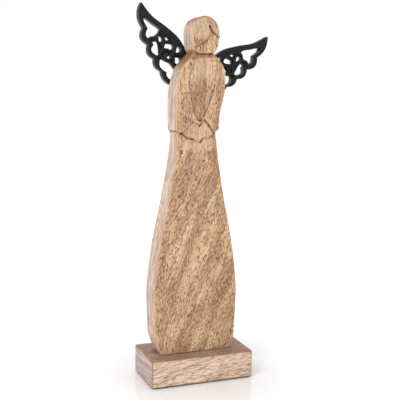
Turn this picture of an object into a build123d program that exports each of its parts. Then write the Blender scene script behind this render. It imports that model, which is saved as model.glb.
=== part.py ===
from build123d import *
import os
from math import cos, radians, sin

os.makedirs("parts", exist_ok=True)

# A carved angel: a flat board of wood on a wooden plinth, with a pair of openwork metal wings
# screwed to its back. Millimetres, +Z up. The figure faces -Y, and the origin is the middle
# of the felt's underside, where the object stands.

# ---- driving dimensions ----
plinth_length = 100.0
plinth_depth = 55.0
plinth_height = 25.5
plinth_edge_radius = 2.0
felt_thickness = 0.8
felt_margin = 2.5
board_thickness = 25.0

# Heights are above the plinth; each row is (height, half the board's width there).
skirt_foot = (0.0, 36.0)
skirt_rows = [
    (17.0, 39.7),
    (40.0, 40.8),
    (65.0, 40.7),
    (104.0, 35.5),
    (142.0, 27.6),
    (175.0, 21.7),
    (198.0, 18.8),
    (206.0, 18.8),
]
sleeve_rows = [
    (206.5, 20.9),
    (222.0, 21.4),
    (241.0, 23.3),
    (256.0, 22.1),
    (265.0, 18.9),
    (273.5, 12.0),
    (276.4, 9.4),
]
head_rows = [
    (279.1, 11.2),
    (282.7, 12.2),
    (288.0, 13.1),
    (293.7, 13.4),
    (300.2, 12.2),
    (306.0, 8.1),
]
crown_height = 309.1
# The hand-cut board isn't quite straight: (height, sideways place of its middle).
middle_rows = [
    (0.0, -0.6),
    (17.0, -2.6),
    (207.0, -2.4),
    (222.0, -2.4),
    (256.0, 2.0),
    (285.0, 4.6),
    (320.0, 4.6),
]

relief_depth = 1.6
waist_depth = 2.4
neck_depth = 2.6

wing_thickness = 7.5
wing_tilt = 11.5
wing_axis_height = 254.5
wing_axis_x = 3.6

wing_screw_spacing = 14.0
wing_screw_shank_radius = 1.5
wing_screw_head_radius = 3.2
wing_screw_head_height = 2.2
wing_screw_bite = 14.0

plinth_screw_spacing = 40.0
plinth_screw_shank_radius = 2.0
plinth_screw_head_radius = 4.0
plinth_screw_head_height = 3.0
plinth_screw_bite = 22.0
counterbore_radius = 4.6
counterbore_depth = 7.0

clearance = 0.4  # between a screw's shank and the hole that it passes through
pilot_gap = 0.05  # between a thread's outside and the hole that it has cut
recess_half_width = 1.3  # half the width of the cross recess in a screw's head
recess_slot_width = 0.7
recess_depth = 1.2
dome_share = 0.6  # how much of a screw head's height its rounded edge takes

# ---- worked-out places ----
plinth_bottom = felt_thickness
plinth_top = plinth_bottom + plinth_height
front_y = -board_thickness / 2
back_y = board_thickness / 2
front_plane = Plane(origin=(0, front_y, plinth_top), x_dir=(1, 0, 0), z_dir=(0, -1, 0))
wing_front = Plane(
    origin=(wing_axis_x, back_y, plinth_top + wing_axis_height),
    x_dir=(cos(radians(wing_tilt)), 0, -sin(radians(wing_tilt))),
    z_dir=(0, -1, 0),
)
wing_back = wing_front.offset(-wing_thickness)


def middle_at(height):
    """Sideways place of the board's middle at a height above the plinth."""
    for (low, x_low), (high, x_high) in zip(middle_rows, middle_rows[1:]):
        if height <= high:
            return x_low + (x_high - x_low) * (height - low) / (high - low)
    return middle_rows[-1][1]


def edge_points(rows, side):
    """Points along one edge of the board, side being -1 on its left or 1 on its right."""
    return [(middle_at(height) + side * half, height) for height, half in rows]


# ---- plinth ----
with BuildPart() as plinth:
    with BuildSketch(Plane.XY.offset(plinth_bottom)):
        Rectangle(plinth_length, plinth_depth)
    extrude(amount=plinth_height)
    fillet(plinth.edges().filter_by(Axis.Z), plinth_edge_radius)
    fillet(plinth.faces().sort_by(Axis.Z)[-1].edges(), plinth_edge_radius)
    with Locations(Plane(origin=(0, 0, plinth_bottom), x_dir=(1, 0, 0), z_dir=(0, 0, -1))):
        with GridLocations(plinth_screw_spacing, 0, 2, 1):
            CounterBoreHole(
                radius=plinth_screw_shank_radius + clearance,
                counter_bore_radius=counterbore_radius,
                counter_bore_depth=counterbore_depth,
            )

plinth.part.label = "plinth"
export_step(plinth.part, "parts/plinth.step")

# ---- felt sheet under the plinth ----
with BuildPart() as felt_sheet:
    with BuildSketch():
        RectangleRounded(plinth_length - 2 * felt_margin, plinth_depth - 2 * felt_margin, plinth_edge_radius)
    extrude(amount=felt_thickness)

felt_sheet.part.label = "felt_sheet"
export_step(felt_sheet.part, "parts/felt_sheet.step")

# ---- figure: one carved board ----
head_x = middle_at(crown_height)

with BuildPart() as figure:
    # The board, cut to its outline.
    with BuildSketch(front_plane):
        with BuildLine():
            left_foot, right_foot = (edge_points([skirt_foot], side)[0] for side in (-1, 1))
            for side, foot in ((-1, left_foot), (1, right_foot)):
                skirt = edge_points(skirt_rows, side)
                sleeve = edge_points(sleeve_rows, side)
                Line(foot, skirt[0])
                Spline(skirt)
                Line(skirt[-1], sleeve[0])
                Spline(sleeve)
            neck_row = sleeve_rows[-1:]
            left_head = edge_points(neck_row + head_rows, -1)
            right_head = edge_points(neck_row + head_rows, 1)
            Spline([*left_head, (head_x, crown_height), *reversed(right_head)])
            Line(left_foot, right_foot)
        make_face()
    extrude(amount=-board_thickness)

    # The face, a plain hollow under hair that parts at the top.
    parting = (head_x + 3.2, 298.7)
    with BuildSketch(front_plane):
        with BuildLine():
            lock = ThreePointArc(parting, (head_x - 1.8, 285.7), (head_x - 12.0, 281.2))
            chin = ThreePointArc(lock @ 1, (head_x, 277.4), (head_x + 12.5, 280.4))
            cheek = Line(chin @ 1, (head_x + 14.5, 288.7))
            Line(cheek @ 1, parting)
        make_face()
    extrude(amount=-relief_depth, mode=Mode.SUBTRACT)

    # The neck, cut back under the chin.
    with BuildSketch(front_plane):
        with BuildLine():
            collar = ThreePointArc((-12.0, 270.0), (head_x, 271.5), (19.0, 270.0))
            throat = ThreePointArc((15.0, 276.8), (head_x, 275.7), (-7.0, 277.6))
            Line(collar @ 1, throat @ 0)
            Line(throat @ 1, collar @ 0)
        make_face()
    extrude(amount=-neck_depth, mode=Mode.SUBTRACT)

    # The chest, set back between the arms and narrowing down to the hands.
    chest_tip = (-1.0, 215.0)
    with BuildSketch(front_plane):
        with BuildLine():
            neckline = ThreePointArc((-9.2, 262.0), (3.0, 269.0), (14.4, 262.0))
            right_arm = Spline(neckline @ 1, (14.0, 246.0), (7.8, 227.0), chest_tip)
            Spline(right_arm @ 1, (-7.4, 227.0), (-11.0, 246.0), neckline @ 0)
        make_face()
    extrude(amount=-relief_depth, mode=Mode.SUBTRACT)

    # The waist, cut back below the sleeves and the clasped hands.
    waist_top = 206.5
    with BuildSketch(front_plane.offset(1.0)):
        with BuildLine():
            Polyline(
                (-30.0, 192.0),
                (30.0, 192.0),
                (30.0, waist_top),
                (14.0, waist_top),
                (-1.5, 197.5),
                (-17.0, waist_top),
                (-30.0, waist_top),
                close=True,
            )
        make_face()
    extrude(amount=-(waist_depth + 1.0), mode=Mode.SUBTRACT)

    # Holes that the screws have cut.
    with Locations(Plane(origin=(0, 0, plinth_top), x_dir=(1, 0, 0), z_dir=(0, 0, -1))):
        with GridLocations(plinth_screw_spacing, 0, 2, 1):
            Hole(radius=plinth_screw_shank_radius + pilot_gap, depth=plinth_screw_bite + 1)
    with Locations(Plane(origin=wing_front.origin, x_dir=wing_front.x_dir, z_dir=(0, 1, 0))):
        with GridLocations(wing_screw_spacing, 0, 2, 1):
            Hole(radius=wing_screw_shank_radius + pilot_gap, depth=wing_screw_bite + 1)

figure.part.label = "figure"
export_step(figure.part, "parts/figure.step")

# ---- wings: one openwork casting, both wings joined by a plate behind the shoulders ----
# Across is outward from the pair's own axis, and up is along it, from the axis height.
bridge_half_width = 14.0
bridge_low, bridge_high = -12.0, 11.0
tip = (64.2, 54.4)
notches = [(58.0, 32.5), (50.0, 19.1), (41.9, 8.1), (33.4, -1.2), (21.5, -11.6)]
bulges = [4.2, 3.3, 2.6, 2.4]

# Openings in one wing: (middle), (width, height), degrees turned.
lobes = [
    ((43.4, 17.8), (9.0, 11.0), -12.0),
    ((30.4, 22.2), (7.0, 4.2), 0.0),
    ((33.6, 29.4), (4.6, 3.8), 20.0),
    ((39.9, 27.0), (4.2, 5.0), 30.0),
    ((28.8, 13.0), (5.8, 3.8), 20.0),
    ((20.8, 21.8), (4.0, 5.2), 0.0),
    ((19.6, 12.0), (5.4, 5.0), 0.0),
]

with BuildPart() as wings:
    with BuildSketch(wing_front):
        with BuildLine():
            Line((0, bridge_low), (0, bridge_high))
            shoulder = Polyline((0, bridge_high), (10.5, bridge_high), (13.0, 21.9))
            leading = Spline(shoulder @ 1, (23.5, 32.0), (37.5, 39.1), (52.0, 45.0), tip)
            edge = ThreePointArc(leading @ 1, (64.6, 42.8), notches[0])
            for start, stop, bulge in zip(notches, notches[1:], bulges):
                SagittaArc(start, stop, bulge)
            Polyline(notches[-1], (bridge_half_width, bridge_low), (0, bridge_low))
        make_face()
        with BuildLine():
            slot = Polyline((58.4, 42.0), (58.0, 37.6), (53.6, 33.0), (54.2, 28.4), (51.8, 25.6))
            Polyline(slot @ 1, (46.0, 28.4), (42.6, 32.0), (43.0, 35.4), slot @ 0)
        make_face(mode=Mode.SUBTRACT)
        with BuildLine():
            foot_slot = Polyline((34.5, 9.4), (36.0, 5.2), (33.0, 1.6), (28.4, -0.6), (26.8, -5.0))
            Polyline(foot_slot @ 1, (22.6, -7.0), (18.5, -3.0), (19.5, 5.0), (26.5, 8.4), foot_slot @ 0)
        make_face(mode=Mode.SUBTRACT)
        for place, (width, height), turn in lobes:
            with Locations(place):
                Ellipse(width / 2, height / 2, rotation=turn, mode=Mode.SUBTRACT)
        mirror(about=Plane.YZ)
    extrude(amount=-wing_thickness)
    with Locations(Plane(origin=wing_back.origin, x_dir=wing_back.x_dir, z_dir=(0, 1, 0))):
        with GridLocations(wing_screw_spacing, 0, 2, 1):
            Hole(radius=wing_screw_shank_radius + clearance)

wings.part.label = "wings"
export_step(wings.part, "parts/wings.step")


# ---- screws: a domed head with a cross recess, and a shank cut to its length ----
screw_sets = [
    (
        "wing_screw",
        Plane(origin=wing_back.origin, x_dir=wing_back.x_dir, z_dir=(0, 1, 0)),
        wing_screw_spacing,
        (wing_screw_head_radius, wing_screw_head_height),
        (wing_screw_shank_radius, wing_thickness + wing_screw_bite),
    ),
    (
        "plinth_screw",
        Plane(origin=(0, 0, plinth_bottom + counterbore_depth), x_dir=(1, 0, 0), z_dir=(0, 0, -1)),
        plinth_screw_spacing,
        (plinth_screw_head_radius, plinth_screw_head_height),
        (plinth_screw_shank_radius, plinth_height - counterbore_depth + plinth_screw_bite),
    ),
]

for kind, seat, spacing, (head_radius, head_height), (shank_radius, shank_length) in screw_sets:
    for name, side in (("left", -1), ("right", 1)):
        middle = seat.from_local_coords((side * spacing / 2, 0, 0))
        place = Plane(origin=middle, x_dir=seat.x_dir, z_dir=seat.z_dir)
        with BuildPart() as screw:
            with BuildSketch(place):
                Circle(head_radius)
            extrude(amount=head_height)
            dome_face = screw.faces().sort_by(Axis(place.origin, place.z_dir))[-1]
            fillet(dome_face.edges(), head_height * dome_share)
            with BuildSketch(place.offset(head_height)):
                Rectangle(2 * recess_half_width, recess_slot_width)
                Rectangle(recess_slot_width, 2 * recess_half_width)
            extrude(amount=-recess_depth, mode=Mode.SUBTRACT)
            with BuildSketch(place):
                Circle(shank_radius)
            extrude(amount=-shank_length)
        screw.part.label = f"{kind}_{name}"
        export_step(screw.part, f"parts/{kind}_{name}.step")
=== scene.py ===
# %% [markdown]
# # A carved angel on a plinth
# The object is a flat board of open-pored hardwood, sawn to an outline and carved on its front,
# on a plinth of the same wood, with a pair of cast black wings behind its shoulders.
# The measured model comes first. It fixes every place and size, and the pieces made here are
# its finished surfaces: the carving, the scrollwork, the eased edges and the finishes.

# %% Load the measured model
from math import atan2, cos, degrees, pi, radians, sin, sqrt

import bpy
from mathutils import Matrix, Vector


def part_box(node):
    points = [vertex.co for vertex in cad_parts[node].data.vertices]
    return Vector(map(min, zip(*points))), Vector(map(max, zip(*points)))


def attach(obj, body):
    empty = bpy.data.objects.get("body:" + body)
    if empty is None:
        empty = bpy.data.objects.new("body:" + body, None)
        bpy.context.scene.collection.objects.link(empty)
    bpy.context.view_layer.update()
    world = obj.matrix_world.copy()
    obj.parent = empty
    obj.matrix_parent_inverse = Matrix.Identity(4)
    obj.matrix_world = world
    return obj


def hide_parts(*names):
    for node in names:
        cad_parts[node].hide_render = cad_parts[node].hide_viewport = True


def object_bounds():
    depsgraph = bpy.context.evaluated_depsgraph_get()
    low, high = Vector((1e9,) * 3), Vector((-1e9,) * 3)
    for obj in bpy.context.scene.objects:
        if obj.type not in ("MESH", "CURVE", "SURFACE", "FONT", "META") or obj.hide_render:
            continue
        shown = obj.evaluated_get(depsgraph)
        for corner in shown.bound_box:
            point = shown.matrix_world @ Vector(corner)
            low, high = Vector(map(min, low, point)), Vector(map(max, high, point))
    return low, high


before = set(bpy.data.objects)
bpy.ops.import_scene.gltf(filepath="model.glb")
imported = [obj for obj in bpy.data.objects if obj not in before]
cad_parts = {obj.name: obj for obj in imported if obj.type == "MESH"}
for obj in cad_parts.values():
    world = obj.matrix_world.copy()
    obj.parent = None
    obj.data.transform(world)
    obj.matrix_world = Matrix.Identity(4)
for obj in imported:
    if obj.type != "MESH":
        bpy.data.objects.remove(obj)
cad_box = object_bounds()
mm = 0.001

figure_low, figure_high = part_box("figure")
plinth_low, plinth_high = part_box("plinth")
wings_low, wings_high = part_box("wings")
front_y = figure_low.y
back_y = figure_high.y
plinth_top = plinth_high.z
print("board", [round(v / mm, 1) for v in figure_high - figure_low], "mm")

# %% [markdown]
# ## Working by operator
# Each piece is made as a person would make it in the window: a primitive, then edit-mode
# operators, then modifiers. Operators act on whatever is selected, so every step starts by
# leaving edit mode and deselecting. Picking by place, in code, stands for clicking.

# %% Helpers for selecting and editing


def start_clean():
    """Leaves edit mode and deselects everything."""
    if bpy.context.object and bpy.context.object.mode != "OBJECT":
        bpy.ops.object.mode_set(mode="OBJECT")
    bpy.ops.object.select_all(action="DESELECT")


def make_active(piece):
    start_clean()
    piece.select_set(True)
    bpy.context.view_layer.objects.active = piece


def edit(piece, mode="VERT"):
    """Enters edit mode on one piece with nothing selected."""
    make_active(piece)
    bpy.ops.object.mode_set(mode="EDIT")
    bpy.ops.mesh.select_mode(type=mode)
    bpy.ops.mesh.select_all(action="DESELECT")


def pick_edges(piece, wanted):
    """Enters edit mode with the edges selected whose two ends both answer yes to wanted."""
    make_active(piece)
    mesh = piece.data
    for item in (mesh.vertices, mesh.edges, mesh.polygons):
        item.foreach_set("select", [False] * len(item))
    ends = [wanted(vertex.co) for vertex in mesh.vertices]
    mesh.edges.foreach_set("select", [all(ends[v] for v in edge.vertices) for edge in mesh.edges])
    bpy.ops.object.mode_set(mode="EDIT")
    bpy.ops.mesh.select_mode(type="EDGE")


def finish_edit():
    """Merges doubles, points faces outward and leaves edit mode."""
    bpy.ops.mesh.select_all(action="SELECT")
    bpy.ops.mesh.remove_doubles(threshold=1e-6)
    bpy.ops.mesh.normals_make_consistent(inside=False)
    bpy.ops.object.mode_set(mode="OBJECT")


def round_edges(piece, wanted, radius, segments):
    """Rounds the edges whose two ends both answer yes to wanted. The radius is in metres."""
    pick_edges(piece, wanted)
    bpy.ops.mesh.bevel(offset=radius, segments=segments, affect="EDGES")
    finish_edit()


def apply_modifier(piece, kind, **settings):
    """Adds a modifier, gives it its settings and applies it at once."""
    make_active(piece)
    bpy.ops.object.modifier_add(type=kind)
    modifier = piece.modifiers[-1]
    for name, value in settings.items():
        setattr(modifier, name, value)
    bpy.ops.object.modifier_apply(modifier=modifier.name)


def apply_place(piece):
    """Moves the object's place, turn and size into its mesh."""
    make_active(piece)
    bpy.ops.object.transform_apply(location=True, rotation=True, scale=True)


def cut(piece, cutter, operation="DIFFERENCE"):
    """Cuts, joins or intersects one closed shape with another, which is then thrown away."""
    apply_modifier(piece, "BOOLEAN", object=cutter, operation=operation, solver="EXACT")
    bpy.data.objects.remove(cutter)


# %% [markdown]
# ## Drawing an outline
# An outline is drawn by pulling one vertex from point to point, then filled and pulled to its
# thickness. Between the few points that a shape needs, a smooth line passes through them all.

# %% Helpers for outlines


def smooth_line(points, steps=6):
    """A Catmull-Rom curve through all the points, sampled. A point given twice is a corner."""
    ends = [points[0], *points, points[-1]]
    line = []
    for before, start, stop, after in zip(ends, ends[1:], ends[2:], ends[3:]):
        for step in range(steps if start != stop else 0):
            t = step / steps
            line.append(tuple(
                0.5 * (2 * b + (c - a) * t
                       + (2 * a - 5 * b + 4 * c - d) * t ** 2 + (3 * b - a - 3 * c + d) * t ** 3)
                for a, b, c, d in zip(before, start, stop, after)
            ))
    return line + [points[-1]]


def draw_line(name, points, y, closed=True):
    """Edges from point to point, (x, z), in the plane of y. Leaves the piece in edit mode."""
    start_clean()
    bpy.ops.mesh.primitive_plane_add(size=mm)
    piece = bpy.context.object
    piece.name = name
    bpy.ops.object.mode_set(mode="EDIT")
    bpy.ops.mesh.select_mode(type="VERT")
    bpy.ops.mesh.select_all(action="SELECT")
    bpy.ops.mesh.merge(type="CENTER")
    x, z = points[0]
    bpy.ops.transform.translate(value=(x, y, z))
    stops = [*points[1:], points[0]] if closed else points[1:]
    for (x, z), (next_x, next_z) in zip(points, stops):
        bpy.ops.mesh.extrude_region_move(TRANSFORM_OT_translate={"value": (next_x - x, 0, next_z - z)})
    bpy.ops.mesh.select_all(action="SELECT")
    bpy.ops.mesh.remove_doubles(threshold=1e-6)
    return piece


def draw_solid(name, outline, start_y, stop_y):
    """A closed prism between two planes of y, from an outline in (x, z)."""
    piece = draw_line(name, outline, start_y)
    bpy.ops.mesh.edge_face_add()
    bpy.ops.mesh.extrude_region_move(TRANSFORM_OT_translate={"value": (0, stop_y - start_y, 0)})
    finish_edit()
    return piece


# %% [markdown]
# ## Camera, light and floor
# The camera looks slightly down on the object from its left front, as a buyer would on a shelf.
# A pale room lights it from everywhere, and one broad lamp from the upper left gives the
# carving its shadows. The floor is almost white and a little glossy, and away from the object it glows:
# painted light, which leaves the floor darker close to the object.

# %% Camera
azimuth, elevation, roll = radians(-21.3), radians(7.8), radians(0.7)
aim = Vector((4.1, -2.5, 168.4)) * mm
distance = 718.9 * mm

away = Vector((sin(azimuth) * cos(elevation), -cos(azimuth) * cos(elevation), sin(elevation)))
across = Vector((cos(azimuth), sin(azimuth), 0))
upward = away.cross(across)
camera_right = across * cos(roll) + upward * sin(roll)
camera_up = upward * cos(roll) - across * sin(roll)

start_clean()
bpy.ops.object.camera_add()
camera = bpy.context.object
camera.name = "camera"
turn = Matrix((camera_right, camera_up, away)).transposed().to_4x4()
camera.matrix_world = Matrix.Translation(aim + away * distance) @ turn
camera.data.lens = 69.6
camera.data.sensor_width = 36.0
camera.data.clip_start = 0.05
bpy.context.scene.camera = camera
print("camera", round(distance, 3), "m away,", round(degrees(elevation), 1), "degrees up")

# %% Floor
start_clean()
bpy.ops.mesh.primitive_plane_add(size=6.0, location=(0, 0, cad_box[0][2]))
floor = bpy.context.object
floor.name = "floor"

floor_paint = bpy.data.materials.new("pale floor")
floor_paint.use_nodes = True
paint = floor_paint.node_tree.nodes["Principled BSDF"]
paint.inputs["Base Color"].default_value = (0.80, 0.80, 0.80, 1)
# Painted light: the floor glows, from nothing near the object to full strength a little away from it.
paint.inputs["Emission Strength"].default_value = 0.30
paint.inputs["Roughness"].default_value = 0.12
paint.inputs["Specular IOR Level"].default_value = 0.6
nodes = floor_paint.node_tree.nodes
floor_place = nodes.new("ShaderNodeTexCoord").outputs["Object"]
reach = nodes.new("ShaderNodeVectorMath")
reach.operation = "LENGTH"
glow = nodes.new("ShaderNodeMapRange")
glow.interpolation_type = "SMOOTHSTEP"
glow.inputs["From Min"].default_value = 0.04
glow.inputs["From Max"].default_value = 0.20
floor_paint.node_tree.links.new(floor_place, reach.inputs[0])
floor_paint.node_tree.links.new(reach.outputs["Value"], glow.inputs["Value"])
floor_paint.node_tree.links.new(glow.outputs[0], paint.inputs["Emission Color"])
floor.data.materials.append(floor_paint)

# %% Light
room = bpy.context.scene.world or bpy.data.worlds.new("room")
bpy.context.scene.world = room
room.use_nodes = True
background = room.node_tree.nodes["Background"]
background.inputs["Color"].default_value = (1.0, 1.0, 1.0, 1)
background.inputs["Strength"].default_value = 1.0
bpy.context.scene.view_settings.view_transform = "Standard"


def add_lamp(name, place, size, power):
    """A soft square lamp that faces the middle of the object."""
    start_clean()
    bpy.ops.object.light_add(type="AREA", location=place)
    lamp = bpy.context.object
    lamp.name = name
    lamp.rotation_euler = (Vector(place) - aim).to_track_quat("Z", "Y").to_euler()
    lamp.data.size = size
    lamp.data.energy = power
    return lamp


add_lamp("key", (-0.9, -0.7, 1.1), 0.6, 9.0)

# %% [markdown]
# ## The board
# The figure starts as a board sawn to an outline: a skirt like a bottle, sleeves that stand a
# little wider than the waist, a short neck and a round head. Two short tables say it all: half
# the board's width at a few heights, and how far its middle drifts, because it is cut by hand.

# %% The outline of the board
skirt_rows = [
    (0.0, 36.0), (17.0, 39.7), (17.0, 39.7), (40.0, 40.8), (65.0, 40.7), (104.0, 35.5),
    (142.0, 27.6), (175.0, 21.7), (198.0, 18.8), (206.0, 18.8), (206.0, 18.8),
]
sleeve_rows = [
    (206.5, 20.9), (206.5, 20.9), (222.0, 21.4), (241.0, 23.3), (256.0, 22.1), (265.0, 18.9),
    (273.5, 12.0), (276.4, 9.4),
]
head_rows = [
    (279.1, 11.2), (282.7, 12.2), (288.0, 13.1), (293.7, 13.4), (300.2, 12.2), (306.0, 8.1),
]
middle_rows = [
    (0.0, -0.6), (17.0, -2.6), (207.0, -2.4), (222.0, -2.4), (256.0, 2.0), (285.0, 4.6),
    (320.0, 4.6),
]
crown_height = 309.1


def middle_at(height):
    """Sideways place of the board's middle, in mm."""
    for (low, x_low), (high, x_high) in zip(middle_rows, middle_rows[1:]):
        if height <= high:
            return x_low + (x_high - x_low) * (height - low) / (high - low)
    return middle_rows[-1][1]


all_rows = skirt_rows + sleeve_rows + head_rows
head_x = middle_at(crown_height)


def on_board(side, height, half):
    """A point in metres on the board's left edge, side -1, or its right edge, side 1."""
    return ((middle_at(height) + side * half) * mm, plinth_top + height * mm)


crown = (head_x * mm, plinth_top + crown_height * mm)
left_line = [on_board(-1, *row) for row in all_rows]
right_line = [on_board(1, *row) for row in reversed(all_rows)]
board_outline = smooth_line(left_line + [crown] + right_line, 4)
figure = draw_solid("figure_board", board_outline, front_y, back_y)
print("outline points", len(board_outline))

# %% [markdown]
# ## Easing the board's edges
# The head's front rim is rounded more than the rest, which is only broken with sandpaper.

# %% Ease the edges


def on_front(co):
    return abs(co.y - front_y) < 1e-5


def on_back(co):
    return abs(co.y - back_y) < 1e-5


def away_from_cuffs(co):
    """True where an edge can be rounded: not at the foot, and not at the small step of a sleeve's end."""
    height = (co.z - plinth_top) / mm
    return height > 1.0 and abs(height - 206.2) > 4.0


brow_z = plinth_top + 292.0 * mm
round_edges(figure, lambda co: on_front(co) and co.z > brow_z, 3.2 * mm, 5)
waist_z = plinth_top + 206.2 * mm
round_edges(figure, lambda co: on_front(co) and waist_z < co.z <= brow_z and away_from_cuffs(co), 0.9 * mm, 3)
round_edges(figure, lambda co: on_front(co) and co.z < waist_z and away_from_cuffs(co), 2.0 * mm, 4)
round_edges(figure, lambda co: on_back(co) and away_from_cuffs(co), 0.8 * mm, 3)
print("board faces", len(figure.data.polygons))

# %% [markdown]
# ## Carving
# A carver takes wood away, and so does the boolean modifier. Each cut is a cutter: either a
# prism drawn in outline, whose floor may be tipped so that the cut runs out to the surface, or
# the overlap of a prism and a long ball, which leaves the hollow that a gouge leaves.

# %% Cutters
outside = front_y - 6 * mm


def flat_points(points):
    """Points given in mm, (x, height over the plinth), in metres."""
    return [(x * mm, plinth_top + height * mm) for x, height in points]


def tipped_cutter(points, depth_at_low, depth_at_high):
    """A prism whose floor slopes from one depth at its lowest point to another at its highest."""
    line = flat_points(points)
    low, high = min(z for x, z in line), max(z for x, z in line)
    slope = (depth_at_high - depth_at_low) * mm / (high - low)
    past_floor = front_y + max(depth_at_low, depth_at_high) * mm + mm
    cutter = draw_solid("cutter", line, outside, past_floor)
    edit(cutter)
    bpy.ops.mesh.select_all(action="SELECT")
    floor_point = (0, front_y + depth_at_low * mm, low)
    bpy.ops.mesh.bisect(plane_co=floor_point, plane_no=(0, 1, -slope), use_fill=True, clear_outer=True)
    finish_edit()
    return cutter


def ball(place, radii, tilt=0.0):
    """A long ball: place and radii in mm (x, depth, height), turned about the y axis."""
    start_clean()
    bpy.ops.mesh.primitive_uv_sphere_add(segments=64, ring_count=32, radius=1.0)
    piece = bpy.context.object
    piece.scale = Vector(radii) * mm
    piece.rotation_euler = (0, radians(tilt), 0)
    piece.location = (place[0] * mm, front_y + place[1] * mm, plinth_top + place[2] * mm)
    apply_place(piece)
    return piece


def gouged_cutter(points, place, radii, tilt=0.0):
    """The part of a long ball that lies inside an outline."""
    cutter = draw_solid("cutter", flat_points(points), outside, front_y + 12 * mm)
    cut(cutter, ball(place, radii, tilt), "INTERSECT")
    return cutter


def groove(points, width, depth):
    """A V-shaped cut along a line of points in mm, made by a square bar set on its corner."""
    for (x, z), (next_x, next_z) in zip(points, points[1:]):
        length = sqrt((next_x - x) ** 2 + (next_z - z) ** 2)
        start_clean()
        bpy.ops.mesh.primitive_cone_add(vertices=4, radius1=1.0, radius2=1.0, depth=1.0)
        bar = bpy.context.object
        bar.scale = (width / 2 * mm, depth * mm, (length + width * 0.3) * mm)
        bar.rotation_euler = (0, atan2(next_x - x, next_z - z), 0)
        bar.location = ((x + next_x) / 2 * mm, front_y, plinth_top + (z + next_z) / 2 * mm)
        apply_place(bar)
        cut(figure, bar)


# %% [markdown]
# ## Chest and neck
# The chest is one scoop between the arms. It starts shallow under the neckline and is deepest
# over the hands, where it runs to a point. The neck slopes back until the chin overhangs it.

# %% Carve the chest and the neck
left_arm = [(-5.0, 271.0), (-9.2, 262.5), (-11.3, 253.7), (-10.7, 243.1), (-9.1, 234.3), (-6.6, 223.5)]
right_arm = [
    (4.6, 219.8), (7.9, 226.5), (10.9, 235.5), (13.6, 244.5), (15.1, 256.0), (13.8, 263.0), (9.0, 271.0),
]
chest_line = smooth_line(left_arm, 4) + [(-3.0, 216.4), (0.4, 214.6)] + smooth_line(right_arm, 4)
cut(figure, gouged_cutter(chest_line, (1.4, -1.0, 230.0), (24.0, 4.4, 42.0)))

collar = smooth_line([(-13.0, 266.5), (-5.3, 269.2), (2.4, 271.6), (11.1, 271.2), (22.0, 266.5)], 3)
chin = [
    (20.0, 277.6), (13.4, 276.8), (9.1, 276.2), (3.3, 275.7), (-1.5, 275.9), (-5.4, 277.3), (-9.2, 279.2),
    (-14.0, 281.0),
]
cut(figure, tipped_cutter(collar + smooth_line(chin, 3), -2.9, 8.2))
print("chest and neck carved")

# %% [markdown]
# ## Face and hair
# The face is blank. The hair parts at the top and falls to both sides, and stands over the face
# by about two millimetres on the left; on the right it is only a knife line.

# %% Carve the face
parting = (8.0, 299.9)
lock = [parting, (8.8, 295.6), (6.0, 289.3), (2.2, 285.7), (-1.6, 283.4), (-6.4, 281.5), (-11.0, 280.4)]
hair_edge = smooth_line(lock, 4)
jaw = smooth_line([(-11.0, 272.0), (5.0, 268.0), (20.0, 272.0)], 4)
hair_right = [(21.0, 286.0), (17.6, 288.0)]
cut(figure, tipped_cutter(hair_edge + jaw[1:] + hair_right, 0.9, 2.2))
groove([(7.6, 300.2), (10.7, 295.4), (14.6, 291.2), (18.6, 287.0)], 2.2, 4.6)

# %% [markdown]
# ## Waist, sleeves and hands
# Below the sleeves and the clasped hands the wood is cut back into a hollow that runs out to
# the skirt's front. The right cuff is a deep knife line, the left one a shallow one, and a
# small notch parts the two hands.

# %% Carve the waist and the hands
under_hands = [
    (-27.0, 202.8), (-23.0, 203.0), (-17.4, 205.4), (-14.1, 202.2), (-11.2, 200.4), (-7.3, 199.9),
    (-3.9, 198.0), (-1.5, 196.6), (2.4, 198.4), (7.3, 200.2), (12.1, 202.9), (17.0, 208.0), (24.0, 208.5),
]
waist_line = under_hands + [(24.0, 191.4), (11.3, 189.6), (-2.3, 188.3), (-13.0, 188.5), (-27.0, 189.5)]
cut(figure, tipped_cutter(waist_line, 0.2, 4.2))
cut(figure, ball((-19.5, -0.6, 195.5), (4.2, 4.0, 10.5), -12.0))

hand_line = [
    (-7.0, 215.6), (-4.1, 212.9), (-1.1, 210.8), (0.8, 212.8), (3.1, 217.6), (13.8, 204.4), (7.3, 199.2),
    (-1.5, 194.6), (-7.3, 198.2), (-11.2, 198.6), (-17.0, 204.8),
]
cut(figure, tipped_cutter(hand_line, 0.6, 1.1))
cut(figure, tipped_cutter([(-1.5, 194.0), (14.2, 203.6), (7.8, 203.4), (1.0, 199.6)], 3.4, 0.9))
groove([(2.8, 217.8), (5.1, 215.1), (8.1, 211.5), (11.1, 207.4), (14.2, 203.4)], 2.3, 4.8)
groove([(-7.0, 215.4), (-10.3, 211.6), (-13.6, 208.0), (-17.2, 205.2)], 1.3, 1.7)
groove([(-4.1, 213.2), (-1.1, 210.2)], 1.9, 4.0)
groove([(3.1, 216.2), (0.8, 212.4), (-1.1, 210.2), (-1.1, 205.6)], 2.2, 4.8)
groove([(6.5, 182.4), (2.7, 178.4), (-0.2, 173.0), (-2.1, 167.5), (-3.5, 163.9)], 1.5, 2.2)
print("figure faces", len(figure.data.polygons))

# %% [markdown]
# ## Sanding
# A voxel remesh welds the cuts into one even skin, smoothing rounds the arrises as sandpaper
# does, and a very slight swelling keeps the faces from being perfectly flat.

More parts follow.
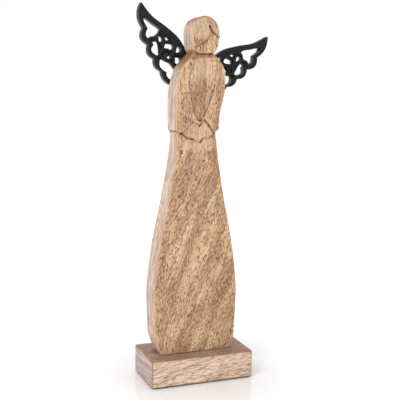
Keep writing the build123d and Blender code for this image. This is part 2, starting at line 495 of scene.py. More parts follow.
# %% Sand the figure
figure_detail = 0.78 * mm
apply_modifier(figure, "REMESH", mode="VOXEL", voxel_size=figure_detail)
apply_modifier(figure, "SMOOTH", factor=0.5, iterations=4)
swell = bpy.data.textures.new("swell", "CLOUDS")
swell.noise_scale = 22 * mm
swell.noise_depth = 1
apply_modifier(figure, "DISPLACE", texture=swell, texture_coords="LOCAL", strength=0.35 * mm, mid_level=0.5)
print("figure triangles", 2 * len(figure.data.polygons))
make_active(figure)
bpy.ops.object.shade_smooth()
figure.name = "carved_figure"
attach(figure, "root")
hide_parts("figure")

# %% [markdown]
# ## The wings
# The pair is one casting: two open wings and a plate between them that is screwed to the back of
# the board. Each wing has a raised rim, a lower field, openings through the field, and scrolls
# of round bar lying in it. The right wing is made flat, then copied and mirrored for the left.
# Here u runs out from the pair's axis and v up along it, in millimetres.

# %% The rim of one wing


def bow(start, stop, bulge, steps=8):
    """Points from start up to stop along a line that bows to its left by the bulge."""
    (x, z), (next_x, next_z) = start, stop
    length = sqrt((next_x - x) ** 2 + (next_z - z) ** 2)
    side_x, side_z = -(next_z - z) / length, (next_x - x) / length
    line = []
    for step in range(steps):
        t = step / steps
        swing = 4 * bulge * t * (1 - t)
        line.append((x + (next_x - x) * t + side_x * swing, z + (next_z - z) * t + side_z * swing))
    return line


def in_metres(points):
    return [(u * mm, v * mm) for u, v in points]


wing_thickness = wings_high.y - wings_low.y
wing_tip = (64.2, 54.4)
notches = [(58.0, 32.5), (50.0, 19.1), (41.9, 8.1), (33.4, -1.2), (21.5, -11.6)]
bulges = [3.6, 4.2, 3.3, 2.6, 2.4]
overlap = 1.0

rim_line = [(-overlap, -12.0), (-overlap, 11.0), (10.5, 11.0)]
rim_line += smooth_line([(13.0, 21.9), (23.5, 32.0), (37.5, 39.1), (52.0, 45.0), wing_tip], 6)[:-1]
for start, stop, bulge in zip([wing_tip, *notches], notches, bulges):
    rim_line += bow(start, stop, bulge)
rim_line += [notches[-1], (14.0, -12.0)]
wing = draw_solid("wing", in_metres(rim_line), 0.0, wing_thickness)

# %% Sink the field and cut the openings
field_depth = 2.6
field = [
    (14.5, 14.5), (18.2, 18.6), (26.8, 27.0), (39.5, 33.6), (53.5, 39.2), (59.6, 43.6), (59.6, 43.6),
    (58.2, 38.3), (53.6, 33.2), (53.6, 33.2), (54.4, 28.2), (52.2, 24.8), (46.4, 21.6), (45.2, 20.0),
    (46.6, 17.0), (45.5, 13.9), (41.2, 11.6), (37.2, 8.6), (36.5, 6.5), (35.3, 2.6), (31.5, 0.0),
    (28.0, -0.8), (27.4, -4.0), (23.5, -6.5), (19.0, -5.5), (15.0, -2.0),
]
openings = [
    [(58.6, 42.2), (58.6, 42.2), (58.2, 38.3), (53.6, 33.2), (53.6, 33.2), (54.4, 28.2), (52.4, 25.2),
     (49.4, 25.8), (45.6, 28.3), (42.8, 31.5), (42.3, 35.3), (50.0, 38.2)],
    [(42.3, 24.0), (45.0, 23.0), (46.5, 21.5), (45.2, 20.0), (46.6, 17.0), (45.5, 13.9), (41.0, 12.0),
     (36.6, 13.8), (39.2, 21.0)],
    [(34.5, 9.5), (36.5, 6.5), (35.3, 2.6), (31.5, 0.0), (28.0, -0.8), (28.0, -0.8), (27.4, -4.0),
     (23.5, -6.5), (19.0, -5.0), (19.0, 2.0), (22.0, 4.5), (25.7, 7.3), (31.1, 8.5)],
    [(34.0, 22.0), (33.0, 24.0), (27.0, 24.5), (26.5, 20.5), (33.5, 20.0)],
    [(33.6, 29.9), (35.6, 29.4), (33.6, 26.9), (31.0, 28.3)],
    [(40.3, 29.4), (42.5, 27.5), (38.8, 24.3), (37.3, 27.2)],
    [(28.8, 15.5), (32.5, 12.9), (28.0, 11.0), (25.8, 12.2)],
    [(22.5, 24.0), (22.5, 19.0), (18.8, 19.8), (18.8, 22.8)],
    [(22.8, 13.8), (21.8, 9.6), (17.0, 9.0), (17.0, 14.0)],
]


def smooth_loop(points, steps=4):
    """The same, closed."""
    count = len(smooth_line([points[-1], points[0]], steps)) - 1
    line = smooth_line([points[-1], *points, points[0], points[1]], steps)
    return line[count:-(steps + 1)]


def join(pieces):
    """Joins several pieces into the first."""
    start_clean()
    for piece in pieces:
        piece.select_set(True)
    bpy.context.view_layer.objects.active = pieces[0]
    bpy.ops.object.join()
    return pieces[0]


back_of_cut = wing_thickness + overlap * mm
punches = [
    draw_solid("punch", in_metres(smooth_loop(opening)), -overlap * mm, back_of_cut) for opening in openings
]
cut(wing, join(punches))
cut(wing, draw_solid("cutter", in_metres(smooth_loop(field)), -overlap * mm, field_depth * mm))
print("wing faces", len(wing.data.polygons))

# %% [markdown]
# ## Scrolls
# Each scroll is a round bar. A line of points becomes a curve, the curve gets a round section,
# and turns back into a mesh. The free end of a curl finishes in a small ball.

# %% Lay the scrolls in the field
bar_radius = 1.35
bar_depth = 2.3
scrolls = [
    [(37.5, 10.5), (35.8, 16.0), (35.9, 22.0), (36.6, 28.0), (36.2, 35.0)],
    [(37.2, 12.0), (38.8, 17.5), (40.9, 22.5), (44.2, 26.0), (48.0, 26.2), (50.2, 23.8), (49.0, 21.4)],
    [(36.4, 23.0), (36.7, 28.0), (38.4, 31.8), (41.2, 32.0), (43.0, 29.4), (42.9, 26.6)],
    [(35.6, 24.6), (32.0, 26.4), (28.0, 26.6), (24.9, 23.6), (24.4, 19.0), (26.0, 16.2)],
    [(28.0, 26.5), (28.8, 30.0), (31.5, 32.0)],
    [(36.0, 17.0), (33.0, 18.9), (29.0, 18.6), (25.4, 16.0), (25.4, 12.4), (28.5, 10.2), (31.6, 11.8),
     (30.4, 14.6)],
    [(37.0, 12.0), (33.0, 10.4), (28.0, 9.7), (22.5, 7.0), (16.5, 2.0)],
    [(23.6, 28.0), (23.8, 22.0), (23.8, 16.0), (22.4, 8.0)],
    [(17.6, 21.0), (16.6, 15.0), (15.5, 6.0)],
    [(24.5, 17.2), (20.0, 16.6), (15.5, 16.0)],
]
curled = (1, 2, 5)
ball_radius = 1.9


def draw_bar(points, radius, depth):
    """A round bar along a smooth line through points (u, v)."""
    line = draw_line("bar", in_metres(smooth_line(points, 5)), depth * mm, closed=False)
    bpy.ops.object.mode_set(mode="OBJECT")
    bpy.ops.object.convert(target="CURVE")
    line = bpy.context.object
    line.data.bevel_depth = radius * mm
    line.data.bevel_resolution = 3
    line.data.use_fill_caps = True
    bpy.ops.object.convert(target="MESH")
    return bpy.context.object


loose = []
for number, points in enumerate(scrolls):
    loose.append(draw_bar(points, bar_radius, bar_depth))
    if number in curled:
        start_clean()
        u, v = points[-1]
        bpy.ops.mesh.primitive_uv_sphere_add(segments=24, ring_count=12, radius=ball_radius * mm,
                                             location=(u * mm, bar_depth * mm, v * mm))
        loose.append(bpy.context.object)
        apply_place(loose[-1])
print("bars and balls", len(loose))

# %% Mirror, join and place the pair
wing_tilt = radians(11.5)
wing_axis = Vector((3.6 * mm, back_y, plinth_top + 254.5 * mm))
screw_reach = 7.0
screw_clearance = 1.9


def copy_of(piece, name):
    """A copy with its own mesh."""
    twin = piece.copy()
    twin.data = piece.data.copy()
    twin.name = name
    bpy.context.scene.collection.objects.link(twin)
    return twin


def mirrored(piece, name):
    """A copy turned over left to right, with its faces pointing outward again."""
    twin = copy_of(piece, name)
    make_active(twin)
    bpy.ops.object.mode_set(mode="EDIT")
    bpy.ops.mesh.select_all(action="SELECT")
    bpy.ops.transform.mirror(constraint_axis=(True, False, False), center_override=(0, 0, 0))
    bpy.ops.mesh.flip_normals()
    bpy.ops.object.mode_set(mode="OBJECT")
    return twin


start_clean()
bpy.ops.mesh.primitive_cylinder_add(vertices=32, radius=screw_clearance * mm, depth=40 * mm,
                                    location=(screw_reach * mm, 0, 0), rotation=(pi / 2, 0, 0))
drill = bpy.context.object
apply_place(drill)
cut(wing, drill)
wing = join([wing, *loose])
pair = join([wing, mirrored(wing, "left_wing")])
pair.name = "angel_wings"
pair.rotation_euler = (0, wing_tilt, 0)
pair.location = wing_axis
apply_place(pair)

apply_modifier(pair, "REMESH", mode="VOXEL", voxel_size=0.42 * mm)
apply_modifier(pair, "SMOOTH", factor=0.5, iterations=3)
print("wing triangles", 2 * len(pair.data.polygons))
make_active(pair)
bpy.ops.object.shade_smooth()
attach(pair, "root")
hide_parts("wings")

# %% [markdown]
# ## The plinth
# A sawn block with its edges eased, drilled from below for two screws. It is eased more at its
# corners than along its top, and gets the same sanding as the figure.

# %% Make the plinth
start_clean()
bpy.ops.mesh.primitive_cube_add(size=1.0, location=(plinth_low + plinth_high) / 2)
block = bpy.context.object
block.name = "plinth_block"
block.scale = plinth_high - plinth_low
apply_place(block)


# The front right corner is worn rounder than the other three.
worn_radius, corner_radius, rim_radius, foot_radius = 2.6, 1.6, 1.3, 0.6
round_edges(block, lambda co: co.x > 0 and co.y < 0, worn_radius * mm, 5)
for x_side, y_side in ((-1, -1), (-1, 1), (1, 1)):
    round_edges(block, lambda co: co.x * x_side > 0 and co.y * y_side > 0, corner_radius * mm, 4)
round_edges(block, lambda co: co.z > plinth_high.z - 1e-5, rim_radius * mm, 4)
round_edges(block, lambda co: co.z < plinth_low.z + 1e-5, foot_radius * mm, 2)

bore_radius, bore_depth, shaft_radius = 4.6, 7.0, 2.4
for node in ("plinth_screw_left", "plinth_screw_right"):
    low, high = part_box(node)
    middle = (low + high) / 2
    for radius, stop_z in ((bore_radius, plinth_low.z + bore_depth * mm), (shaft_radius, plinth_high.z + mm)):
        start_z = plinth_low.z - mm
        start_clean()
        bpy.ops.mesh.primitive_cylinder_add(vertices=48, radius=radius * mm, depth=stop_z - start_z,
                                            location=(middle.x, middle.y, (start_z + stop_z) / 2))
        drill = bpy.context.object
        apply_place(drill)
        cut(block, drill)

apply_modifier(block, "REMESH", mode="VOXEL", voxel_size=0.7 * mm)
apply_modifier(block, "SMOOTH", factor=0.5, iterations=2)
apply_modifier(block, "DISPLACE", texture=swell, texture_coords="LOCAL", strength=0.3 * mm, mid_level=1.0)
make_active(block)
bpy.ops.object.shade_smooth()
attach(block, "root")
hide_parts("plinth")
print("plinth faces", len(block.data.polygons))

# %% [markdown]
# ## Felt
# A thin sheet of felt is glued under the plinth. It is a grid with rounded corners, given its
# thickness, and roughened a little, always inward, so that it never reaches below the table.

# %% Cut the felt
felt_low, felt_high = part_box("felt_sheet")
felt_size = felt_high - felt_low
start_clean()
bpy.ops.mesh.primitive_grid_add(x_subdivisions=38, y_subdivisions=20, size=1.0)
felt = bpy.context.object
felt.name = "felt_pad"
felt.scale = (felt_size.x, felt_size.y, 1.0)
felt.location = (0, 0, felt_low.z)
apply_place(felt)
half_x, half_y = felt_size.x / 2 - 1e-5, felt_size.y / 2 - 1e-5
corners = [v.index for v in felt.data.vertices if abs(v.co.x) > half_x and abs(v.co.y) > half_y]
edit(felt)
bpy.ops.object.mode_set(mode="OBJECT")
for index in corners:
    felt.data.vertices[index].select = True
felt_corner = 2.0
bpy.ops.object.mode_set(mode="EDIT")
bpy.ops.mesh.bevel(offset=felt_corner * mm, segments=5, affect="VERTICES")
finish_edit()
apply_modifier(felt, "SOLIDIFY", thickness=felt_size.z, offset=1.0)
apply_modifier(felt, "SUBSURF", subdivision_type="SIMPLE", levels=1, render_levels=1)
fuzz = bpy.data.textures.new("fuzz", "CLOUDS")
fuzz.noise_scale = 1.4 * mm
apply_modifier(felt, "DISPLACE", texture=fuzz, texture_coords="LOCAL", strength=0.12 * mm, mid_level=1.0)
make_active(felt)
bpy.ops.object.shade_smooth_by_angle(angle=radians(50))
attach(felt, "root")
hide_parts("felt_sheet")
print("felt", [round(v / mm, 1) for v in felt_size], "mm")

# %% [markdown]
# ## Screws
# Two pairs of wood screws hold it together. Each pair is modelled once, standing on its point:
# a cylinder whose head is domed by a bevel and cut by a cross, and a shank with a ridge pressed
# out for every turn of the thread. Then it is copied to each place and turned to its own angle.

# %% Make the screws


def make_screw(head_radius, head_height, shank_radius, length):
    """A screw in metres, with the top of its head at the origin and its point down."""
    start_clean()
    bpy.ops.mesh.primitive_cylinder_add(vertices=40, radius=head_radius, depth=head_height,
                                        location=(0, 0, -head_height / 2))
    head = bpy.context.object
    apply_place(head)
    round_edges(head, lambda co: co.z > -1e-6, head_height * 0.62, 6)
    for turn in (0, pi / 2):
        start_clean()
        bpy.ops.mesh.primitive_cube_add(size=1.0, rotation=(0, 0, turn))
        blade = bpy.context.object
        blade.scale = (head_radius * 1.1, head_radius * 0.24, head_height * 1.1)
        apply_place(blade)
        cut(head, blade)

    start_clean()
    core = shank_radius * 0.72
    bpy.ops.mesh.primitive_cylinder_add(vertices=24, radius=core, depth=length * 0.25,
                                        location=(0, 0, -head_height - length * 0.125 + head_height * 0.2))
    shank = bpy.context.object
    apply_place(shank)
    end = min(v.co.z for v in shank.data.vertices)
    pick_edges(shank, lambda co: co.z < end + 1e-6)
    bpy.ops.mesh.select_mode(type="FACE")
    pitch = shank_radius * 0.9
    turns = int((length * 0.7) / pitch)
    grow = shank_radius / core
    for _ in range(turns):
        bpy.ops.mesh.extrude_region_move(TRANSFORM_OT_translate={"value": (0, 0, -pitch / 2)})
        bpy.ops.transform.resize(value=(grow, grow, 1), center_override=(0, 0, 0))
        bpy.ops.mesh.extrude_region_move(TRANSFORM_OT_translate={"value": (0, 0, -pitch / 2)})
        bpy.ops.transform.resize(value=(1 / grow, 1 / grow, 1), center_override=(0, 0, 0))
    bpy.ops.mesh.extrude_region_move(TRANSFORM_OT_translate={"value": (0, 0, -shank_radius)})
    bpy.ops.transform.resize(value=(0.1, 0.1, 1), center_override=(0, 0, 0))
    finish_edit()
    cut(head, shank, "UNION")
    return head


screw_kinds = [
    ("wing_screw", (3.2, 2.2, 1.5), (-pi / 2, 0, 0)),
    ("plinth_screw", (4.0, 3.0, 2.0), (pi, 0, 0)),
]
screws = []
for kind, (head_radius, head_height, shank_radius), way_in in screw_kinds:
    low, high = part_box(kind + "_left")
    whole = max(high - low)
    model = make_screw(head_radius * mm, head_height * mm, shank_radius * mm, whole - head_height * mm)
    for side, turn in (("left", 20), ("right", 65)):
        node = kind + "_" + side
        low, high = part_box(node)
        middle = (low + high) / 2
        screw = copy_of(model, node + "_turned")
        top = (middle.x, high.y, middle.z) if kind == "wing_screw" else (middle.x, middle.y, low.z)
        screw.matrix_world = (Matrix.Translation(top) @ Matrix.Rotation(way_in[0], 4, "X")
                              @ Matrix.Rotation(radians(turn), 4, "Z"))
        apply_place(screw)
        bpy.ops.object.shade_smooth_by_angle(angle=radians(35))
        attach(screw, "root")
        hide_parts(node)
        screws.append(screw)
    bpy.data.objects.remove(model)
print("screws", [screw.name for screw in screws])

# %% [markdown]
# ## Building a material from nodes
# A material is a graph. Two small helpers keep it readable: one adds a node with its settings and
# inputs, the other makes an empty node group. A group holds an effect that several finishes share
# and gives out only masks and heights; each material's shader stays in the material.

# %% Helpers for materials


def add_node(tree, kind, inputs=None, **settings):
    """Adds a shader node. An input is either a value or another node's output."""
    node = tree.nodes.new("ShaderNode" + kind)
    for name, value in settings.items():
        setattr(node, name, value)
    for name, value in (inputs or {}).items():
        if isinstance(value, bpy.types.NodeSocket):
            tree.links.new(value, node.inputs[name])
        else:
            node.inputs[name].default_value = value
    return node


def new_group(name, inputs, outputs):
    """An empty node group with named inputs and outputs of the given socket types."""
    group = bpy.data.node_groups.new(name, "ShaderNodeTree")
    for socket_name, kind, value in inputs:
        socket = group.interface.new_socket(socket_name, in_out="INPUT", socket_type=kind)
        if value is not None:
            socket.default_value = value
    for socket_name, kind in outputs:
        group.interface.new_socket(socket_name, in_out="OUTPUT", socket_type=kind)
    return group, group.nodes.new("NodeGroupInput"), group.nodes.new("NodeGroupOutput")


def colour(red, green, blue):
    """A colour from screen values, 0 to 255."""
    levels = [value / 255 for value in (red, green, blue)]
    return (*[((level + 0.055) / 1.055) ** 2.4 for level in levels], 1)


def remap(tree, value, low, high, to_low=0.0, to_high=1.0):
    """Stretches low..high to to_low..to_high, smoothly, and stops at both ends."""
    inputs = {"Value": value, "From Min": low, "From Max": high, "To Min": to_low, "To Max": to_high}
    return add_node(tree, "MapRange", inputs, interpolation_type="SMOOTHSTEP").outputs[0]


def lay_over(tree, mask, below, above, blend="MIX"):
    """Lays one colour over another where the mask is high."""
    node = add_node(tree, "Mix", {0: mask, 6: below, 7: above}, data_type="RGBA", blend_type=blend)
    return node.outputs[2]


def times(tree, one, other):
    return add_node(tree, "Math", {0: one, 1: other}, operation="MULTIPLY").outputs[0]


def stretch(tree, vector, amounts):
    """Multiplies a vector's three parts."""
    return add_node(tree, "VectorMath", {0: vector, 1: amounts}, operation="MULTIPLY").outputs[0]


def noise(tree, vector, scale, detail=2.0, roughness=0.5):
    inputs = {"Vector": vector, "Scale": scale, "Detail": detail, "Roughness": roughness}
    return add_node(tree, "TexNoise", inputs).outputs[0]


# %% [markdown]
# ## Wood grain
# Wood is a solid pattern, not a skin, so it is made in three dimensions and the surface cuts
# through it: long streaks and open pores on a face along the fibres, and dots on end grain. The
# group takes a place whose z runs along the fibres. A slow noise bends it, rings lie round a pith
# outside the board, and finer noises stretched along the fibres give streaks, pores and flecks.

# %% The grain group
grain, grain_in, grain_out = new_group(
    "wood grain",
    [("Place", "NodeSocketVector", None), ("Ring Scale", "NodeSocketFloat", 40.0),
     ("Wander", "NodeSocketFloat", 0.02), ("Dash", "NodeSocketFloat", 0.2),
     ("Fineness", "NodeSocketFloat", 1.0)],
    [("Rings", "NodeSocketFloat"), ("Streaks", "NodeSocketFloat"), ("Pores", "NodeSocketFloat"),
     ("Flecks", "NodeSocketFloat"), ("Clouds", "NodeSocketFloat")],
)
place = grain_in.outputs["Place"]
slow_place = stretch(grain, place, (1.0, 1.0, 0.45))
bend = add_node(grain, "TexNoise", {"Vector": slow_place, "Scale": 24.0, "Detail": 2.0})
sway_inputs = {0: bend.outputs["Color"], "Scale": grain_in.outputs["Wander"]}
sway = add_node(grain, "VectorMath", sway_inputs, operation="SCALE")
bent = add_node(grain, "VectorMath", {0: place, 1: sway.outputs[0]}, operation="ADD").outputs[0]
rings = add_node(grain, "TexWave", {
    "Vector": add_node(grain, "VectorMath", {0: bent, 1: (0.045, -0.075, 0.0)}, operation="ADD").outputs[0],
    "Scale": grain_in.outputs["Ring Scale"], "Distortion": 3.0, "Detail": 2.0, "Detail Scale": 1.2,
}, wave_type="RINGS", rings_direction="Z", wave_profile="SAW")
fine_inputs = {0: bent, "Scale": grain_in.outputs["Fineness"]}
fine = add_node(grain, "VectorMath", fine_inputs, operation="SCALE").outputs[0]
streaks = noise(grain, stretch(grain, bent, (1.0, 1.0, 0.075)), 330.0, 5.0, 0.72)
parts = add_node(grain, "SeparateXYZ", {0: fine})
dash_z = times(grain, parts.outputs[2], grain_in.outputs["Dash"])
dashed = add_node(grain, "CombineXYZ", {0: parts.outputs[0], 1: parts.outputs[1], 2: dash_z}).outputs[0]
pores = noise(grain, dashed, 860.0, 2.0, 0.55)
shifted = add_node(grain, "VectorMath", {0: dashed, 1: (0.3, 0.7, 0.1)}, operation="ADD").outputs[0]
flecks = noise(grain, shifted, 620.0, 3.0, 0.6)
clouds = noise(grain, stretch(grain, bent, (1.0, 1.0, 0.3)), 55.0, 3.0, 0.6)
for name, value in (("Rings", rings.outputs["Fac"]), ("Streaks", remap(grain, streaks, 0.42, 0.62)),
                    ("Pores", remap(grain, pores, 0.51, 0.63)), ("Flecks", remap(grain, flecks, 0.42, 0.64)),
                    ("Clouds", remap(grain, clouds, 0.36, 0.66))):
    grain.links.new(value, grain_out.inputs[name])
print("grain nodes", len(grain.nodes))

# %% [markdown]
# ## Painted shade in hollows, and edges
# Shade falls in the carver's cuts and other hollows, and it is painted there; edges that stand proud get
# a colour of their own. Both are measured on the mesh: a vertex paint operator writes how hollow the
# surface is at every vertex, low in a cut and high on an edge. The group compares that with the value
# of a flat face and gives two masks.

# %% Measure the hollows


def mark_hollows(piece, blur=1):
    """Writes how hollow the surface is into the piece's colour attribute."""
    make_active(piece)
    white = (1, 1, 1, 1)
    bpy.ops.geometry.color_attribute_add(name="hollow", domain="POINT", data_type="FLOAT_COLOR", color=white)
    bpy.ops.object.mode_set(mode="VERTEX_PAINT")
    bpy.ops.paint.vertex_color_dirt(blur_strength=1.0, blur_iterations=blur, clean_angle=pi, dirt_angle=0.0)
    bpy.ops.object.mode_set(mode="OBJECT")


for piece in (figure, block, pair):
    mark_hollows(piece)

shade_and_edges, shade_and_edges_in, shade_and_edges_out = new_group(
    "painted hollow shade and edges",
    [("Flat", "NodeSocketFloat", 0.02), ("Shade Strength", "NodeSocketFloat", 1.0), ("Edge", "NodeSocketFloat", 1.0)],
    [("Shaded Hollows", "NodeSocketFloat"), ("Edges", "NodeSocketFloat")],
)
measure = add_node(shade_and_edges, "Attribute", attribute_name="hollow", attribute_type="GEOMETRY").outputs["Fac"]
measure = add_node(shade_and_edges, "Math", {0: measure, 1: shade_and_edges_in.outputs["Flat"]}, operation="DIVIDE").outputs[0]
# Painted shade: this mask darkens the cuts and hollows, where shade falls.
hollow_shade = remap(shade_and_edges, measure, 0.75, 0.22)
edges = remap(shade_and_edges, measure, 1.9, 4.5)
shade_and_edges.links.new(times(shade_and_edges, hollow_shade, shade_and_edges_in.outputs["Shade Strength"]), shade_and_edges_out.inputs["Shaded Hollows"])
shade_and_edges.links.new(times(shade_and_edges, edges, shade_and_edges_in.outputs["Edge"]), shade_and_edges_out.inputs["Edges"])

# %% [markdown]
# ## The figure's wood
# The board's front is flat sawn: golden, speckled, with darker bands that lean to the right low
# on the skirt. Its sides are pale and pinkish with long thin grey streaks, partly the wood and partly
# painted light from the left. Where the outline turns towards the sky or the floor the saw has cut
# across the fibres, and the wood drinks oil and goes brown.

# %% Oiled wood for the figure


def new_material(name):
    made = bpy.data.materials.new(name)
    made.use_nodes = True
    return made, made.node_tree, made.node_tree.nodes["Principled BSDF"]


def place_group(tree, group, inputs):
    node = add_node(tree, "Group", node_tree=group)
    for name, value in inputs.items():
        if isinstance(value, bpy.types.NodeSocket):
            tree.links.new(value, node.inputs[name])
        else:
            node.inputs[name].default_value = value
    return node.outputs


def bump(tree, skin, height, strength, distance):
    """Gives a shader a small relief, its distance in metres."""
    relief = add_node(tree, "Bump", {"Strength": strength, "Distance": distance, "Height": height})
    tree.links.new(relief.outputs[0], skin.inputs["Normal"])


def open_grain(tree, pores, streaks, share):
    """A height that drops into the pores and rises a little along the streaks."""
    pits = add_node(tree, "Math", {0: pores, 1: -1.0, 2: 1.0}, operation="MULTIPLY_ADD").outputs[0]
    return add_node(tree, "Math", {0: streaks, 1: share, 2: pits}, operation="MULTIPLY_ADD").outputs[0]


def give_material(piece, material):
    piece.data.materials.clear()
    piece.data.materials.append(material)


def facing(tree):
    """How much the surface faces along x, y and z, each from 0 to 1."""
    normal = add_node(tree, "NewGeometry").outputs["True Normal"]
    turned = add_node(tree, "VectorMath", {0: normal}, operation="ABSOLUTE").outputs[0]
    return add_node(tree, "SeparateXYZ", {0: turned}).outputs


def spot(tree, place, centre, radii):
    """One inside a long ball round a place on the figure, in mm (x, height), falling softly to nothing."""
    middle = Vector((centre[0] * mm, front_y, plinth_top + centre[1] * mm))
    from_middle = add_node(tree, "VectorMath", {0: place, 1: middle}, operation="SUBTRACT").outputs[0]
    scaled = stretch(tree, from_middle, (1 / (radii[0] * mm), 60.0, 1 / (radii[1] * mm)))
    reach = add_node(tree, "VectorMath", {0: scaled}, operation="LENGTH").outputs["Value"]
    edge_noise = noise(tree, place, 260.0, 3.0, 0.6)
    ragged = add_node(tree, "Math", {0: edge_noise, 1: 0.9, 2: reach}, operation="MULTIPLY_ADD")
    return remap(tree, ragged.outputs[0], 1.65, 1.10)


def spots(tree, place, balls):
    """The strongest of several spots at every place."""
    mask = None
    for centre, radii in balls:
        one = spot(tree, place, centre, radii)
        if mask:
            one = add_node(tree, "Math", {0: mask, 1: one}, operation="MAXIMUM").outputs[0]
        mask = one
    return mask


figure_wood, tree, skin = new_material("oiled figure wood")
place = add_node(tree, "TexCoord").outputs["Object"]
toward = facing(tree)
side_face = remap(tree, toward[0], 0.55, 0.85)
end_face = remap(tree, toward[2], 0.30, 0.75)

lean = radians(-21)
centred = add_node(tree, "VectorMath", {0: place, 1: (0.0, 0.0, 0.21)}, operation="SUBTRACT").outputs[0]
low_place = add_node(tree, "Mapping", {"Vector": centred, "Rotation": (0.0, lean, 0.0)}).outputs[0]
height = add_node(tree, "SeparateXYZ", {0: place}).outputs[2]
upright = remap(tree, height, 0.17, 0.24)
front_place = add_node(tree, "Mix", {0: upright, 4: low_place, 5: centred}, data_type="VECTOR").outputs[1]
front = place_group(tree, grain, {
    "Place": front_place, "Ring Scale": 17.0, "Wander": 0.022, "Dash": 0.22, "Fineness": 1.55,
})
side = place_group(tree, grain, {
    "Place": place, "Ring Scale": 30.0, "Wander": 0.004, "Dash": 0.05, "Fineness": 1.0,
})

face_colour = lay_over(tree, front["Clouds"], colour(224, 186, 146), colour(172, 128, 92))
bands = remap(tree, front["Rings"], 0.45, 1.0, 0.0, 0.66)
face_colour = lay_over(tree, bands, face_colour, colour(142, 102, 76))
face_colour = lay_over(tree, times(tree, front["Streaks"], 0.68), face_colour, colour(134, 96, 70))
face_colour = lay_over(tree, times(tree, front["Flecks"], 0.45), face_colour, colour(228, 198, 162))
upper_chest, hands = ((2.5, 262.0), (12.0, 11.0)), ((-2.0, 206.0), (14.0, 9.0))
waist_slope, hair = ((0.0, 194.0), (17.0, 6.5)), ((-1.0, 298.0), (9.0, 12.0))
pale = spots(tree, place, [upper_chest, hands, waist_slope, hair])
face_colour = lay_over(tree, times(tree, pale, 0.4), face_colour, colour(212, 184, 160))
# Brown spots: the one in the waist hollow under the left sleeve is painted shade; the others darken the lower
# chest, the right sleeve and the right of the skirt.
lower_chest, waist_hollow = ((0.5, 236.0), (10.0, 17.0)), ((-21.0, 195.0), (5.0, 13.0))
right_sleeve, right_skirt = ((19.0, 240.0), (6.0, 14.0)), ((20.0, 160.0), (9.0, 26.0))
brown = spots(tree, place, [lower_chest, waist_hollow, right_sleeve, right_skirt])
face_colour = lay_over(tree, times(tree, brown, 0.24), face_colour, colour(150, 106, 70))
pores = add_node(tree, "Math", {0: times(tree, pale, -0.35), 1: 0.78}).outputs[0]
face_colour = lay_over(tree, times(tree, front["Pores"], pores), face_colour, colour(92, 60, 40))

# The sides are painted paler and pinker: partly the wood's side grain, partly painted light from the left.
side_wood_and_light = lay_over(tree, side["Clouds"], colour(218, 194, 176), colour(198, 168, 146))
side_wood_and_light = lay_over(tree, times(tree, side["Streaks"], 0.85), side_wood_and_light, colour(156, 124, 104))
side_wood_and_light = lay_over(tree, times(tree, side["Flecks"], 0.40), side_wood_and_light, colour(238, 220, 204))
side_wood_and_light = lay_over(tree, times(tree, side["Pores"], 0.60), side_wood_and_light, colour(124, 92, 74))

end_colour = lay_over(tree, front["Flecks"], colour(160, 118, 82), colour(118, 82, 54))
end_colour = lay_over(tree, times(tree, front["Streaks"], 0.7), end_colour, colour(84, 54, 34))

wood_colour = lay_over(tree, side_face, face_colour, side_wood_and_light)
wood_colour = lay_over(tree, times(tree, end_face, 0.9), wood_colour, end_colour)
# Painted shade darkens the carving's cuts; edges that stand proud are painted lighter.
shade_and_edge_masks = place_group(tree, shade_and_edges, {"Flat": 0.023, "Shade Strength": 1.0, "Edge": 0.35})
wood_colour = lay_over(tree, shade_and_edge_masks["Edges"], wood_colour, colour(216, 168, 122))
wood_colour = lay_over(tree, shade_and_edge_masks["Shaded Hollows"], wood_colour, colour(72, 46, 32))
tree.links.new(wood_colour, skin.inputs["Base Color"])

roughness = remap(tree, front["Pores"], 0.0, 1.0, 0.50, 0.72)
tree.links.new(roughness, skin.inputs["Roughness"])
skin.inputs["Specular IOR Level"].default_value = 0.35
bump(tree, skin, open_grain(tree, front["Pores"], front["Streaks"], 0.3), 0.55, 0.00035)
give_material(figure, figure_wood)

# %% [markdown]
# ## The plinth's wood
# The same timber, with its fibres along the block. The saw left its front coarse, with pale
# slanting grain that rises to the right. The top has drunk the most oil and is dark.

# %% Oiled wood for the plinth
plinth_wood, tree, skin = new_material("oiled plinth wood")
place = add_node(tree, "TexCoord").outputs["Object"]
toward = facing(tree)
top_face = remap(tree, toward[2], 0.55, 0.85)
end_face = remap(tree, toward[0], 0.45, 0.85)
slant = radians(90 - 9)
turned = add_node(tree, "Mapping", {"Vector": place, "Rotation": (0.0, -slant, 0.0)}).outputs[0]
along = place_group(tree, grain, {
    "Place": turned, "Ring Scale": 46.0, "Wander": 0.012, "Dash": 0.11, "Fineness": 1.5,
})
across_place = add_node(tree, "Mapping", {"Vector": place, "Rotation": (pi / 2, 0.0, 0.0)}).outputs[0]
across = place_group(tree, grain, {
    "Place": across_place, "Ring Scale": 60.0, "Wander": 0.006, "Dash": 0.05, "Fineness": 1.2,
})

front_colour = lay_over(tree, along["Clouds"], colour(234, 208, 184), colour(214, 180, 152))
front_colour = lay_over(tree, times(tree, along["Streaks"], 0.62), front_colour, colour(172, 132, 104))
front_colour = lay_over(tree, times(tree, along["Flecks"], 0.5), front_colour, colour(244, 224, 204))
front_colour = lay_over(tree, times(tree, along["Pores"], 0.66), front_colour, colour(118, 84, 62))
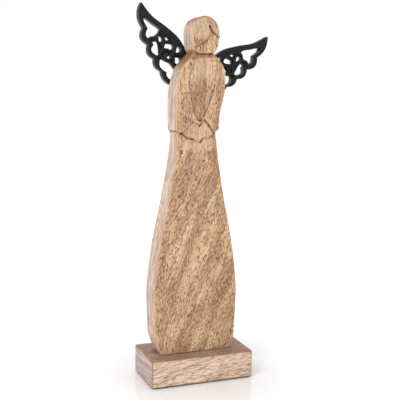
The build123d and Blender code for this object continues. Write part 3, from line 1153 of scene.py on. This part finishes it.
# The left end is painted pale pink: partly end grain, partly painted light from the left.
left_end_wood_and_light = lay_over(tree, across["Clouds"], colour(216, 192, 182), colour(196, 170, 160))
left_end_wood_and_light = lay_over(tree, times(tree, across["Streaks"], 0.7), left_end_wood_and_light, colour(150, 120, 110))
left_end_wood_and_light = lay_over(tree, times(tree, across["Pores"], 0.5), left_end_wood_and_light, colour(118, 88, 80))
top_colour = lay_over(tree, along["Clouds"], colour(166, 136, 120), colour(140, 108, 94))
top_colour = lay_over(tree, times(tree, along["Streaks"], 0.5), top_colour, colour(112, 80, 68))
top_colour = lay_over(tree, times(tree, along["Pores"], 0.5), top_colour, colour(84, 58, 48))

wood_colour = lay_over(tree, end_face, front_colour, left_end_wood_and_light)
wood_colour = lay_over(tree, top_face, wood_colour, top_colour)
# Painted shade darkens the plinth's hollows; its edges are painted darker brown.
shade_and_edge_masks = place_group(tree, shade_and_edges, {"Flat": 0.031, "Shade Strength": 0.8, "Edge": 0.75})
wood_colour = lay_over(tree, shade_and_edge_masks["Edges"], wood_colour, colour(150, 104, 66))
wood_colour = lay_over(tree, shade_and_edge_masks["Shaded Hollows"], wood_colour, colour(84, 56, 40))
tree.links.new(wood_colour, skin.inputs["Base Color"])
roughness = remap(tree, along["Pores"], 0.0, 1.0, 0.46, 0.7)
tree.links.new(roughness, skin.inputs["Roughness"])
skin.inputs["Specular IOR Level"].default_value = 0.4
bump(tree, skin, open_grain(tree, along["Pores"], along["Streaks"], 0.4), 0.6, 0.0004)
give_material(block, plinth_wood)

# %% [markdown]
# ## Black paint on the casting
# Satin black over sand-cast metal: the skin is slightly pebbled, the edges get a painted highlight
# in grey, and the hollows get painted shade in near black.

# %% Satin black
black_paint, tree, skin = new_material("satin black")
place = add_node(tree, "TexCoord").outputs["Object"]
shade_and_edge_masks = place_group(tree, shade_and_edges, {"Flat": 0.058, "Shade Strength": 1.0, "Edge": 0.8})
mottle = remap(tree, noise(tree, place, 90.0, 3.0, 0.6), 0.35, 0.65)
paint_colour = lay_over(tree, mottle, colour(13, 12, 15), colour(20, 19, 23))
# Painted highlight on the edges in grey, painted shade in the hollows in near black.
paint_colour = lay_over(tree, shade_and_edge_masks["Edges"], paint_colour, colour(34, 33, 38))
paint_colour = lay_over(tree, shade_and_edge_masks["Shaded Hollows"], paint_colour, colour(8, 8, 9))
tree.links.new(paint_colour, skin.inputs["Base Color"])
tree.links.new(remap(tree, mottle, 0.0, 1.0, 0.34, 0.44), skin.inputs["Roughness"])
skin.inputs["Specular IOR Level"].default_value = 0.28
pebbles = noise(tree, place, 1500.0, 2.0, 0.5)
bump(tree, skin, pebbles, 0.25, 0.0002)
give_material(pair, black_paint)

# %% [markdown]
# ## Zinc-plated steel and felt
# The screws are bright zinc with fine turning marks round their axis and a few dull spots. The
# felt is matted brown fibre: a fine tangle of noise, rough all over, with a soft sheen.

# %% Steel for the screws
steel, tree, skin = new_material("zinc plated steel")
place = add_node(tree, "TexCoord").outputs["Object"]
dull = remap(tree, noise(tree, place, 700.0, 3.0, 0.6), 0.45, 0.62)
steel_colour = lay_over(tree, dull, colour(204, 206, 208), colour(150, 148, 140))
tree.links.new(steel_colour, skin.inputs["Base Color"])
tree.links.new(remap(tree, dull, 0.0, 1.0, 0.22, 0.45), skin.inputs["Roughness"])
skin.inputs["Metallic"].default_value = 1.0
marks = noise(tree, stretch(tree, place, (1.0, 6.0, 1.0)), 2600.0, 2.0, 0.6)
bump(tree, skin, marks, 0.2, 0.0001)
for screw in screws:
    give_material(screw, steel)

# %% Felt
felt_fibre, tree, skin = new_material("brown felt")
place = add_node(tree, "TexCoord").outputs["Object"]
tangle = noise(tree, stretch(tree, place, (1.0, 1.0, 2.5)), 1900.0, 4.0, 0.7)
felt_colour = lay_over(tree, remap(tree, tangle, 0.38, 0.62), colour(74, 54, 42), colour(112, 88, 72))
tree.links.new(felt_colour, skin.inputs["Base Color"])
skin.inputs["Roughness"].default_value = 0.95
skin.inputs["Sheen Weight"].default_value = 0.4
skin.inputs["Sheen Roughness"].default_value = 0.5
bump(tree, skin, tangle, 0.8, 0.0003)
give_material(felt, felt_fibre)
print("materials", len(bpy.data.materials))
